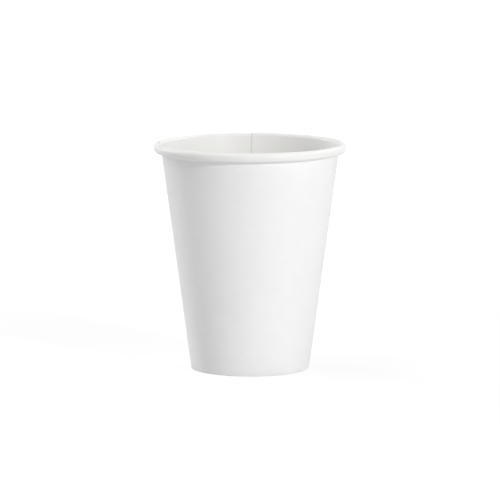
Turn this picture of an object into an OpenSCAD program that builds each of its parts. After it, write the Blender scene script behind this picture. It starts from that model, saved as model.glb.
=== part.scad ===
// Paper coffee cup, single wall, 8 oz, made of two pieces of coated paperboard.
// Millimetres, +Z up. The origin is on the axis of the bottom piece, at the table.

/* [Cup] */
// Outer diameter over the rolled rim
rim_d = 79.5; // [70:0.5:90]
// Height of the rolled rim above the table
cup_h = 93.5; // [80:0.5:115]
// Outer diameter of the wall's cone where it meets the table
base_d = 48.5; // [44:0.5:60]
// Thickness of the coated paperboard
board_t = 0.33; // [0.25:0.01:0.42]

/* [Rolled rim] */
// Width of the roll, from the inside of the wall to the outside of the roll
roll_w = 3.3; // [2.8:0.1:4]
// Height of the roll, which is pressed a little oval
roll_h = 3.9; // [3.4:0.1:4.6]
// How far the cut edge turns up again inside the roll, in degrees
roll_tail = 60; // [20:5:80]
// Gap between the roll's returning edge and the outside of the wall
roll_gap = 0.06; // [0.04:0.01:0.12]

/* [Side seam] */
// Angle round the cup that the seam's overlap covers
lap_deg = 11; // [8:1:16]
// Direction of the seam's inner cut edge, seen from above, counted from +X towards +Y
seam_az = 89.2; // [0:0.1:359]

/* [Bottom piece] */
// Height of the panel's underside above the table
recess_h = 8; // [7:0.5:14]
// Outer radius of the bend from the panel down into the skirt
bend_r = 0.9; // [0.6:0.1:1.1]
// Height of the skirt's cut edge above the inside of the fold
skirt_lift = 0.5; // [0.3:0.1:1.5]
// Clearance on each side of the skirt, between the wall and the hem
skirt_gap = 0.03; // [0.02:0.01:0.05]

/* [Hem] */
// Distance from the panel's underside down to the hem's cut edge
hem_drop = 1.4; // [1.2:0.1:3]
// Inside radius of the two creases at the foot
crease_r = 0.06; // [0.05:0.01:0.1]
// How far the bends at the foot and round the panel are pressed flat
press = 0.03; // [0.02:0.01:0.05]

/* [Hidden] */

// Facets of a full turn round the cup, and of a full turn of a roll or a crease
turn_fn = 180;
arc_fn = 48;

board_white = "#f4f4f2";
board_shade = "#e6e6e3";

// Lengths along the wall are whole thousandths, so that one stretch of board ends where the next begins
function whole(length) = round(length * 1000) / 1000;

// The upper arc of the roll, outside, in the plane of the section
roll_r = roll_w / 2;
roll_centre = [rim_d / 2 - roll_r, cup_h - roll_r];

// The wall's outside runs from the base to the roll and touches the roll one board inside its edge
base_to_roll = roll_centre - [base_d / 2, 0];
lean = atan2(base_to_roll.x, base_to_roll.y) - asin((roll_r - board_t) / norm(base_to_roll));
wall_len = whole(sqrt(pow(norm(base_to_roll), 2) - pow(roll_r - board_t, 2)));

// Board thickness along a radius, which is the step that one layer makes at the seam
step_r = board_t / cos(lean);

// Depth from the wall's outside to the skirt and to the hem, square to the wall
skirt_in = board_t + skirt_gap;
hem_in = skirt_in + board_t + skirt_gap;
skirt_z = 2 * board_t + skirt_lift;
hem_z = recess_h - hem_drop;

// A frame whose Y runs up the outside of the wall from the base, with X square to the wall and outwards
module along_wall() {
    translate([base_d / 2, 0])
        rotate(-lean)
            children();
}
// Place up the wall of a point at a height, for its depth x, and the radius where a place on the wall lies
function up_wall(x, height) = whole((height + x * sin(lean)) / cos(lean));
function radius_at(place) = base_d / 2 + place.x * cos(lean) + place.y * sin(lean);

// A straight stretch of board along the wall, between two depths from its outside
module wall_strip(x_in, x_out, y_low, y_high) {
    translate([x_in, y_low])
        square([x_out - x_in, y_high - y_low]);
}

// A stretch of board bent round a centre, thick inwards from radius r
module arc_strip(centre, r, thick, from, to) {
    steps = ceil((to - from) / 45);
    turn = (to - from) / steps;
    translate(centre)
        intersection() {
            difference() {
                circle(r, $fn = arc_fn);
                circle(r - thick, $fn = arc_fn);
            }
            polygon([[0, 0], for (i = [0:steps]) 2 * r * [cos(from + i * turn), sin(from + i * turn)]]);
        }
}

// A bend into a level stretch turns this far past level, into the thickness of that stretch
overturn = 20;
// How far the level stretch reaches past the bend's centre: inside the pressed bend, from either face
function into_bend(r, thick) =
    (sqrt(pow(r, 2) - pow(r - press, 2)) + sqrt(pow(r - thick, 2) - pow(r - thick - press, 2))) / 2;

// The fold at the foot, for one or two layers: its radius, and its corners' centres along the wall
function fold_r(layers) = crease_r + layers * board_t;
function fold_corner(x, layers) = [x, up_wall(x, fold_r(layers) - press)];
function outer_corner(layers) = fold_corner(-board_t - crease_r, layers);
function inner_corner(layers) = fold_corner(crease_r - hem_in, layers);
// Radii between which the foot is level
function foot_outside(layers) = radius_at(outer_corner(layers)) + into_bend(fold_r(layers), layers * board_t);
function foot_inside(layers) = radius_at(inner_corner(layers)) - into_bend(fold_r(layers), layers * board_t);

// The rim: over the top and down outside, then back under to the wall, where one layer turns up again
module roll_section(layers) {
    stock = layers * board_t;
    r_top = roll_r + (stock - board_t) / 2;
    r_under = r_top - (stock + roll_gap) / 2;
    x_out = 2 * r_top - board_t;
    y_under = wall_len - (roll_h - roll_w);
    tail = layers == 1 ? roll_tail : 0;
    arc_strip([r_top - board_t, wall_len], r_top, stock, 0, 180);
    wall_strip(x_out - stock, x_out, y_under, wall_len);
    arc_strip([x_out - r_under, y_under], r_under, stock, 180 - tail, 360);
}

// Wall and rim from the fold's outer corner upwards, cut level at the table
module wall_section(layers) {
    corner = outer_corner(layers);
    intersection() {
        along_wall() {
            arc_strip(corner, fold_r(layers), layers * board_t, lean - 90 - overturn, 0);
            wall_strip(-board_t, (layers - 1) * board_t, corner.y, wall_len);
            roll_section(layers);
        }
        square([rim_d, 2 * cup_h]);
    }
}

// Hem from the fold's inner corner up to its cut edge, cut level at the table
module hem_section(layers) {
    corner = inner_corner(layers);
    stock = layers * board_t;
    intersection() {
        along_wall() {
            arc_strip(corner, fold_r(layers), stock, 180, 270 + lean + overturn);
            wall_strip(-hem_in - stock, -hem_in, corner.y, up_wall(-hem_in, hem_z));
        }
        square([rim_d, cup_h]);
    }
}

// The whole sheet in section, with the level foot between the two corners
module sheet_section(layers) {
    wall_section(layers);
    hem_section(layers);
    translate([foot_inside(layers), 0])
        square([foot_outside(layers) - foot_inside(layers), layers * board_t]);
}

// Half a turn of a section that ends one step further out (or in) than it starts, as a spiral does
module growing_half(step) {
    translate([step / 2, 0, 0])
        rotate_extrude(angle = 180, start = 0, $fn = turn_fn)
            translate([step / 2, 0])
                children();
}

// The foot of the growing half, where the wall's corner moves out while the hem's corner moves in
module growing_foot() {
    linear_extrude(board_t)
        intersection() {
            difference() {
                translate([step_r / 2, 0])
                    circle(foot_outside(1) + step_r / 2, $fn = turn_fn);
                translate([-step_r / 2, 0])
                    circle(foot_inside(1) - step_r / 2, $fn = turn_fn);
            }
            translate([-rim_d, 0])
                square([2 * rim_d, rim_d]);
        }
}

// One sheet wound once round: the overlap, the half turn on the circle and the half turn that grows
module sidewall() {
    color(board_white)
        rotate(seam_az) {
            rotate_extrude(angle = lap_deg, start = -lap_deg, $fn = turn_fn)
                sheet_section(2);
            rotate_extrude(angle = 180 - lap_deg, start = -180, $fn = turn_fn)
                sheet_section(1);
            growing_half(step_r)
                wall_section(1);
            growing_half(-step_r)
                hem_section(1);
            growing_foot();
        }
}

// A round blank: flat panel, bend, and skirt parallel to the wall
module bottom_disc() {
    bend_x = -skirt_in - bend_r;
    bend = [bend_x, up_wall(bend_x, recess_h + board_t + press - bend_r)];
    color(board_shade)
        rotate_extrude($fn = turn_fn)
            intersection() {
                union() {
                    translate([0, recess_h])
                        square([radius_at(bend) + into_bend(bend_r, board_t), board_t]);
                    along_wall() {
                        arc_strip(bend, bend_r, board_t, 0, 90 + lean + overturn);
                        wall_strip(-skirt_in - board_t, -skirt_in, up_wall(-skirt_in, skirt_z), bend.y);
                    }
                }
                square([rim_d, recess_h + board_t]);
            }
}

sidewall();
bottom_disc();
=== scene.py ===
import math

import bpy
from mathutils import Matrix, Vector


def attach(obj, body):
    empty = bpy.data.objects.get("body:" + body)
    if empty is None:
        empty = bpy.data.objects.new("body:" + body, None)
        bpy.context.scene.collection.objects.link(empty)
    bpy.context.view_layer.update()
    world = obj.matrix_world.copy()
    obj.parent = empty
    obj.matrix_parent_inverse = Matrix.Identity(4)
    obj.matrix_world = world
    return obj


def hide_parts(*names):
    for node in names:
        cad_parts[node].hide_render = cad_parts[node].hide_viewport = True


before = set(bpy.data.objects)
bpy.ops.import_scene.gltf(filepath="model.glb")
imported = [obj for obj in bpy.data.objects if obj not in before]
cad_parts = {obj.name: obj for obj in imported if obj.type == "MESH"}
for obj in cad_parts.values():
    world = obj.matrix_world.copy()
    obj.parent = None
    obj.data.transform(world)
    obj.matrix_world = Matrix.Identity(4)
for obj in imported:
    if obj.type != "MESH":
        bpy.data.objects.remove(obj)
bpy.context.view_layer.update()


# Sidewall: one fan-shaped blank of bleached paperboard, wound once round with its two straight edges lapped
# and sealed at the back. Its top is rolled outwards into the rim. Its foot is folded in and up as a hem,
# which a ribbed wheel presses against the skirt of the bottom piece.
MM = 0.001

# Sizes are in millimetres and degrees.
RIM_R = 39.75
CUP_H = 93.5
BASE_R = 24.25
BOARD = 0.33

ROLL_W = 3.3
ROLL_H = 3.9
ROLL_R = ROLL_W / 2
ROLL_TAIL = 60
UNDER_GAP = 0.06

CREASE_R = 0.06
HEM_DEPTH = 0.72
HEM_TOP = 6.6

# The ribs lie where the folded-in board looks to the cup's axis, at least as squarely as HEM_FACING says.
HEM_FACING = -0.9
RIBS = 120
RIB_DEPTH = 0.12
RIBS_START = 0.8
RIBS_FULL = 1.6

SEAM_AZIMUTH = 89.2
LAP = 11
TURN = 360 + LAP
LAP_GAP = 0.01
EDGE_SLANT = 0.26

# Over these angles the sheet comes out from under its own end, and later climbs on to its own start.
COMES_OUT = (LAP, LAP + 8)
CLIMBS_ON = (350, 359)

# The wall leans just so far, in radians, that it runs into the roll without a corner.
BASE_TO_ROLL = (RIM_R - ROLL_R - BASE_R, CUP_H - ROLL_R)
ROLL_REACH = math.hypot(*BASE_TO_ROLL)
LEAN = math.atan2(*BASE_TO_ROLL) - math.asin((ROLL_R - BOARD) / ROLL_REACH)
WALL_LENGTH = math.sqrt(ROLL_REACH ** 2 - (ROLL_R - BOARD) ** 2)
SQUARE_TO_WALL = (math.cos(LEAN), -math.sin(LEAN))

COLUMNS = 495
LEAF_STEPS = 8
INNER_CREASE_STEPS = 8
OUTER_CREASE_STEPS = 7
WALL_STEPS = 18
ROLL_TOP_STEPS = 18
ROLL_UNDER_STEPS = 20
SHARP_EDGE = 50

# The three finishes of the sheet, in the order in which its materials are added.
OUTER_FACE = 0
DRINK_SIDE = 1
CUT_EDGE = 2


def ease(start, end, at):
    share = min(max((at - start) / (end - start), 0), 1)
    return share * share * (3 - 2 * share)


def spread(start, end, steps):
    return [start + (end - start) * i / steps for i in range(steps + 1)]


def growth(turn):
    """Share of one board by which the second half of the turn has grown outwards."""
    if turn <= 180:
        return 0
    if turn > 360:
        return 1
    return (1 - math.cos(math.radians(turn - 180))) / 2


def from_wall(x, y):
    """Radius and height of a point given by its depth square to the wall and its place up the wall."""
    return (BASE_R + x * math.cos(LEAN) + y * math.sin(LEAN), y * math.cos(LEAN) - x * math.sin(LEAN))


def at_height(x, z):
    """Radius and height of a point given by its depth square to the wall and its height."""
    return (BASE_R + x / math.cos(LEAN) + z * math.tan(LEAN), z)


def bend(centre, radius, start, end, steps, side):
    """Points round one bend of the middle line: radius, height, and the way the outer face looks."""
    points = []
    for angle in spread(start, end, steps):
        out, up = math.cos(angle), math.sin(angle)
        points.append((centre[0] + radius * out, centre[1] + radius * up, side * out, side * up))
    return points


def sheet_section(turn):
    """The sheet's middle line at one angle, from the hem's cut edge to the roll's: radius, height, facing."""
    grown = growth(turn)
    under = 1 - ease(*COMES_OUT, turn)
    over = ease(*CLIMBS_ON, turn)
    wall_x = BOARD * (grown - 0.5)
    hem_x = -HEM_DEPTH - BOARD * (grown + 0.5)
    foot_z = BOARD * (under + 0.5)
    fold_r = CREASE_R + BOARD * (over + 0.5)
    top_r = ROLL_R + BOARD * (under - over - 1) / 2
    under_r = ROLL_R - UNDER_GAP / 2 - BOARD * (1 + over)

    inner = at_height(hem_x + fold_r, foot_z + fold_r)
    outer = at_height(wall_x - fold_r, foot_z + fold_r)
    hem_foot = inner[1] + fold_r * math.sin(LEAN)
    wall_foot = (outer[1] - fold_r * math.sin(LEAN) + wall_x * math.sin(LEAN)) / math.cos(LEAN)
    top_centre = from_wall(wall_x + top_r, WALL_LENGTH)
    under_centre = from_wall(wall_x + 2 * top_r - under_r, WALL_LENGTH - ROLL_H + ROLL_W)
    roll_end = -LEAN - math.pi - math.radians(ROLL_TAIL)

    points = []
    for z in spread(HEM_TOP, hem_foot, LEAF_STEPS)[:-1]:
        points.append((*at_height(hem_x, z), -SQUARE_TO_WALL[0], -SQUARE_TO_WALL[1]))
    points += bend(inner, fold_r, math.pi - LEAN, 1.5 * math.pi, INNER_CREASE_STEPS, 1)
    points.append(((inner[0] + outer[0]) / 2, foot_z, 0, -1))
    points += bend(outer, fold_r, 1.5 * math.pi, 2 * math.pi - LEAN, OUTER_CREASE_STEPS, 1)
    for y in spread(wall_foot, WALL_LENGTH, WALL_STEPS)[1:-1]:
        points.append((*from_wall(wall_x, y), *SQUARE_TO_WALL))
    points += bend(top_centre, top_r, math.pi - LEAN, -LEAN, ROLL_TOP_STEPS, -1)
    points += bend(under_centre, under_r, -LEAN, roll_end, ROLL_UNDER_STEPS, -1)
    return points


def rib_press(turn, z):
    """How deep the wheel has pressed the hem at one angle and height."""
    wave = 0.5 - 0.5 * math.cos(math.radians(RIBS * turn))
    return RIB_DEPTH * wave * ease(RIBS_START, RIBS_FULL, z)


def cut_slant(turn, face, r):
    """Angle by which a straight cut runs further on one face of the board than on the other."""
    if turn == 0 and face < 0:
        return -EDGE_SLANT / r
    if turn == TURN and face > 0:
        return EDGE_SLANT / r
    return 0


def sheet_column(turn):
    """Points of the sheet's two faces at one angle round the cup, in metres."""
    angle = math.radians(SEAM_AZIMUTH - turn)
    half = (BOARD - LAP_GAP) / 2
    column = []
    for face in (half, -half):
        for r, z, facing_r, facing_z in sheet_section(turn):
            ribbed = face > 0 and facing_r < HEM_FACING
            depth = face - (rib_press(turn, z) if ribbed else 0)
            out = r + facing_r * depth
            up = z + facing_z * depth
            at = angle + cut_slant(turn, face, r)
            column.append((out * math.cos(at) * MM, out * math.sin(at) * MM, up * MM))
    return column


def sheet_faces(column_count, rows):
    """Faces that close the sheet all round, and the finish of each."""
    wide = 2 * rows
    faces = []
    finishes = []
    for column in range(column_count - 1):
        here, there = column * wide, (column + 1) * wide
        for row in range(rows - 1):
            inside = rows + row
            faces.append((here + row, there + row, there + row + 1, here + row + 1))
            faces.append((here + inside, here + inside + 1, there + inside + 1, there + inside))
            finishes += [OUTER_FACE, DRINK_SIDE]
        faces.append((here, here + rows, there + rows, there))
        faces.append((here + rows - 1, there + rows - 1, there + wide - 1, here + wide - 1))
        finishes += [CUT_EDGE, CUT_EDGE]
    last = (column_count - 1) * wide
    for row in range(rows - 1):
        inside = rows + row
        faces.append((row, row + 1, inside + 1, inside))
        faces.append((last + row, last + inside, last + inside + 1, last + row + 1))
        finishes += [CUT_EDGE, CUT_EDGE]
    return faces, finishes


def build_sheet():
    columns = [sheet_column(turn) for turn in spread(0, TURN, COLUMNS)]
    vertices = [point for column in columns for point in column]
    faces, finishes = sheet_faces(len(columns), len(columns[0]) // 2)
    mesh = bpy.data.meshes.new("wound_sheet")
    mesh.from_pydata(vertices, [], faces)
    mesh.polygons.foreach_set("material_index", finishes)
    mesh.shade_smooth()
    mesh.set_sharp_from_angle(angle=math.radians(SHARP_EDGE))
    mesh.update()
    sheet = bpy.data.objects.new("wound_sheet", mesh)
    bpy.context.scene.collection.objects.link(sheet)
    return sheet


# The board weighs about 290 grams a square metre and is pressed smooth.
# Fibres show as a faint cloud in its white and as a very fine unevenness of its surface.
CLOUD_DETAIL = 4
FIBRE_DETAIL = 5
FIBRE_ROUGHNESS = 0.65
FIBRE_CURL = 1.8
FIBRE_SHARE = 0.6


def build_fibre_group():
    group = bpy.data.node_groups.new("Paperboard fibres", "ShaderNodeTree")
    group.interface.new_socket("Cloud Scale", in_out="INPUT", socket_type="NodeSocketFloat")
    group.interface.new_socket("Fibre Scale", in_out="INPUT", socket_type="NodeSocketFloat")
    group.interface.new_socket("Cloud", in_out="OUTPUT", socket_type="NodeSocketFloat")
    group.interface.new_socket("Height", in_out="OUTPUT", socket_type="NodeSocketFloat")
    nodes, links = group.nodes, group.links
    given = nodes.new("NodeGroupInput")
    result = nodes.new("NodeGroupOutput")
    place = nodes.new("ShaderNodeTexCoord")
    cloud = nodes.new("ShaderNodeTexNoise")
    cloud.inputs["Detail"].default_value = CLOUD_DETAIL
    fibre = nodes.new("ShaderNodeTexNoise")
    fibre.inputs["Detail"].default_value = FIBRE_DETAIL
    fibre.inputs["Roughness"].default_value = FIBRE_ROUGHNESS
    fibre.inputs["Distortion"].default_value = FIBRE_CURL
    for texture, scale in ((cloud, "Cloud Scale"), (fibre, "Fibre Scale")):
        links.new(place.outputs["Object"], texture.inputs["Vector"])
        links.new(given.outputs[scale], texture.inputs["Scale"])
    blend = nodes.new("ShaderNodeMix")
    blend.inputs["Factor"].default_value = FIBRE_SHARE
    links.new(cloud.outputs["Fac"], blend.inputs["A"])
    links.new(fibre.outputs["Fac"], blend.inputs["B"])
    links.new(blend.outputs["Result"], result.inputs["Cloud"])
    links.new(fibre.outputs["Fac"], result.inputs["Height"])
    return group


fibre_group = build_fibre_group()

CLOUD_SCALE = 180
FIBRE_SCALE = 1500
CLOUD_DARK = 0.3
CLOUD_LIGHT = 0.7
FIBRE_STRENGTH = 0.8
FIBRE_RELIEF = 0.06 * MM
BOARD_GLOSS = 0.4
LIGHT_SOAK = 0.12 * MM
FILM_ROUGHNESS = 0.22


def paperboard(name, dark, light, roughness, film=0):
    material = bpy.data.materials.new(name)
    material.use_nodes = True
    nodes, links = material.node_tree.nodes, material.node_tree.links
    shader = nodes["Principled BSDF"]
    shader.inputs["Roughness"].default_value = roughness
    shader.inputs["Specular IOR Level"].default_value = BOARD_GLOSS
    shader.inputs["Subsurface Weight"].default_value = 1
    shader.inputs["Subsurface Radius"].default_value = (LIGHT_SOAK, LIGHT_SOAK, LIGHT_SOAK)
    shader.inputs["Subsurface Scale"].default_value = 1
    shader.inputs["Coat Weight"].default_value = film
    shader.inputs["Coat Roughness"].default_value = FILM_ROUGHNESS
    fibres = nodes.new("ShaderNodeGroup")
    fibres.node_tree = fibre_group
    fibres.inputs["Cloud Scale"].default_value = CLOUD_SCALE
    fibres.inputs["Fibre Scale"].default_value = FIBRE_SCALE
    tone = nodes.new("ShaderNodeValToRGB")
    tone.color_ramp.elements[0].position = CLOUD_DARK
    tone.color_ramp.elements[0].color = (*dark, 1)
    tone.color_ramp.elements[1].position = CLOUD_LIGHT
    tone.color_ramp.elements[1].color = (*light, 1)
    bump = nodes.new("ShaderNodeBump")
    bump.inputs["Strength"].default_value = FIBRE_STRENGTH
    bump.inputs["Distance"].default_value = FIBRE_RELIEF
    links.new(fibres.outputs["Cloud"], tone.inputs["Fac"])
    links.new(tone.outputs["Color"], shader.inputs["Base Color"])
    links.new(fibres.outputs["Height"], bump.inputs["Height"])
    links.new(bump.outputs["Normal"], shader.inputs["Normal"])
    return material


# The outer face is bare board. The drink side has a thin film against the drink, and is slightly warmer.
OUTER_WHITE = ((0.855, 0.855, 0.855), (0.895, 0.895, 0.895))
DRINK_WHITE = ((0.84, 0.836, 0.821), (0.88, 0.876, 0.861))
# The cut edges are greyer than either face. Part of this is the uncoated edge's own duller tone, and part is
# painted shade that draws the dark line along the seam's sloped inner edge.
CUT_EDGE_AND_PAINTED_SHADE = ((0.68, 0.67, 0.65), (0.74, 0.73, 0.71))

sheet = build_sheet()
sheet.data.materials.append(paperboard("Board, outer face", *OUTER_WHITE, roughness=0.6))
sheet.data.materials.append(paperboard("Board, drink side", *DRINK_WHITE, roughness=0.55, film=0.15))
sheet.data.materials.append(paperboard("Board, cut edge and painted shade", *CUT_EDGE_AND_PAINTED_SHADE, roughness=0.8))
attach(sheet, "root")
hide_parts("sidewall")


# Bottom piece: one round blank of the same board, pressed into a flat panel with its skirt turned down all
# round. The skirt is sealed between the wall and the wall's hem. The frame's solid already has the real
# piece's shape, so it stays and gets the board's finish.
BOTTOM_WHITE = ((0.84, 0.838, 0.83), (0.88, 0.878, 0.87))

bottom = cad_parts["bottom_disc"]
bottom_board = paperboard("Bottom board", *BOTTOM_WHITE, roughness=0.5)
for place in bottom.material_slots:
    place.material = bottom_board


# Surroundings: plain white all round for the camera. The light that they throw on the cup is weaker than
# that white, and very slightly cool.
SKY_TINT = (0.99, 0.99, 1, 1)
SKY_LEVEL = 0.29
WHITE = (1, 1, 1, 1)


def camera_sees(nodes, links):
    """1 for what the camera sees, straight, mirrored or through something clear, and 0 for other light."""
    path = nodes.new("ShaderNodeLightPath")
    either = nodes.new("ShaderNodeMath")
    either.operation = "MAXIMUM"
    seen = nodes.new("ShaderNodeMath")
    seen.operation = "MAXIMUM"
    links.new(path.outputs["Is Camera Ray"], either.inputs[0])
    links.new(path.outputs["Is Glossy Ray"], either.inputs[1])
    links.new(either.outputs["Value"], seen.inputs[0])
    links.new(path.outputs["Is Transmission Ray"], seen.inputs[1])
    return seen.outputs["Value"]


world = bpy.data.worlds.new("White surroundings")
bpy.context.scene.world = world
world.use_nodes = True
nodes, links = world.node_tree.nodes, world.node_tree.links
light_part = nodes["Background"]
light_part.inputs["Color"].default_value = SKY_TINT
light_part.inputs["Strength"].default_value = SKY_LEVEL
seen_part = nodes.new("ShaderNodeBackground")
seen_part.inputs["Color"].default_value = WHITE
seen_part.inputs["Strength"].default_value = 1
choice = nodes.new("ShaderNodeMixShader")
links.new(camera_sees(nodes, links), choice.inputs[0])
links.new(light_part.outputs[0], choice.inputs[1])
links.new(seen_part.outputs[0], choice.inputs[2])
links.new(choice.outputs[0], nodes["World Output"].inputs["Surface"])


# Floor: a wide, pale, matt table top under the cup. The camera sees it as plain white that a faint shadow of
# the cup darkens: a little matt paint takes the shadow, and a glow that is weaker near the cup fills it up.
FLOOR_SIZE = 6.0
FLOOR_WHITE = 0.8
SHADOW_SHARE = 0.3
GLOW_AT_CUP = 0.73
GLOW_AWAY = 0.9
SHADOW_REACH = (0.15, 0.6)


def matt_paint(nodes, level):
    paint = nodes.new("ShaderNodeBsdfDiffuse")
    paint.inputs["Color"].default_value = (level, level, level, 1)
    return paint


bpy.ops.mesh.primitive_plane_add(size=FLOOR_SIZE)
floor = bpy.context.object
floor.name = "floor"
floor_paint = bpy.data.materials.new("Pale floor")
floor_paint.use_nodes = True
nodes, links = floor_paint.node_tree.nodes, floor_paint.node_tree.links
nodes.remove(nodes["Principled BSDF"])
light_part = matt_paint(nodes, FLOOR_WHITE)
shadow_part = matt_paint(nodes, SHADOW_SHARE)
glow = nodes.new("ShaderNodeEmission")
place = nodes.new("ShaderNodeTexCoord")
from_cup = nodes.new("ShaderNodeVectorMath")
from_cup.operation = "LENGTH"
glow_level = nodes.new("ShaderNodeMapRange")
glow_level.inputs["From Min"].default_value, glow_level.inputs["From Max"].default_value = SHADOW_REACH
glow_level.inputs["To Min"].default_value = GLOW_AT_CUP
glow_level.inputs["To Max"].default_value = GLOW_AWAY
seen_part = nodes.new("ShaderNodeAddShader")
choice = nodes.new("ShaderNodeMixShader")
links.new(place.outputs["Object"], from_cup.inputs[0])
links.new(from_cup.outputs["Value"], glow_level.inputs["Value"])
links.new(glow_level.outputs["Result"], glow.inputs["Strength"])
links.new(shadow_part.outputs[0], seen_part.inputs[0])
links.new(glow.outputs[0], seen_part.inputs[1])
links.new(camera_sees(nodes, links), choice.inputs[0])
links.new(light_part.outputs[0], choice.inputs[1])
links.new(seen_part.outputs[0], choice.inputs[2])
links.new(choice.outputs[0], nodes["Material Output"].inputs["Surface"])
floor.data.materials.append(floor_paint)


# Lamps: six soft round lamps at the same distance, all turned to the cup. A small key and a wide low one
# stand in front on the right, two stand behind, and two hang above. Azimuth 0 is the camera's side.
LAMP_AIM = Vector((0, 0, 0.05))
LAMP_DISTANCE = 2.0


def lamp(name, azimuth, elevation, width, power):
    data = bpy.data.lights.new(name, "AREA")
    data.shape = "DISK"
    data.size = width
    data.energy = power
    lamp_object = bpy.data.objects.new(name, data)
    bpy.context.scene.collection.objects.link(lamp_object)
    az, el = math.radians(azimuth), math.radians(elevation)
    away = Vector((math.sin(az) * math.cos(el), -math.cos(az) * math.cos(el), math.sin(el)))
    lamp_object.location = LAMP_AIM + away * LAMP_DISTANCE
    lamp_object.rotation_euler = away.to_track_quat("Z", "Y").to_euler()


lamp("Key lamp", azimuth=39, elevation=21, width=0.24, power=15.4)
lamp("Low lamp", azimuth=39, elevation=12, width=1.0, power=7.1)
lamp("Back left lamp", azimuth=-125, elevation=20, width=0.8, power=14.0)
lamp("Back right lamp", azimuth=140, elevation=40, width=1.2, power=8.3)
lamp("High lamp", azimuth=-75, elevation=65, width=1.2, power=10.3)
lamp("Top lamp", azimuth=-90, elevation=85, width=1.2, power=2.0)


# Camera: a long lens two metres away, so that near and far parts of the rim come out at almost one scale.
# It looks slightly down into the mouth, at a point about half-way up the cup.
CAMERA_DISTANCE = 2.0
CAMERA_ELEVATION = math.radians(7.66)
CAMERA_LENS = 348.8
CAMERA_SENSOR = 36
AIM = Vector((-0.12, 0, 49.0)) * MM

camera_data = bpy.data.cameras.new("Camera")
camera_data.lens = CAMERA_LENS
camera_data.sensor_width = CAMERA_SENSOR
camera = bpy.data.objects.new("Camera", camera_data)
bpy.context.scene.collection.objects.link(camera)
view_line = Vector((0, -math.cos(CAMERA_ELEVATION), math.sin(CAMERA_ELEVATION)))
camera.location = AIM + view_line * CAMERA_DISTANCE
camera.rotation_euler = view_line.to_track_quat("Z", "Y").to_euler()
bpy.context.scene.camera = camera
bpy.context.scene.view_settings.view_transform = "Standard"
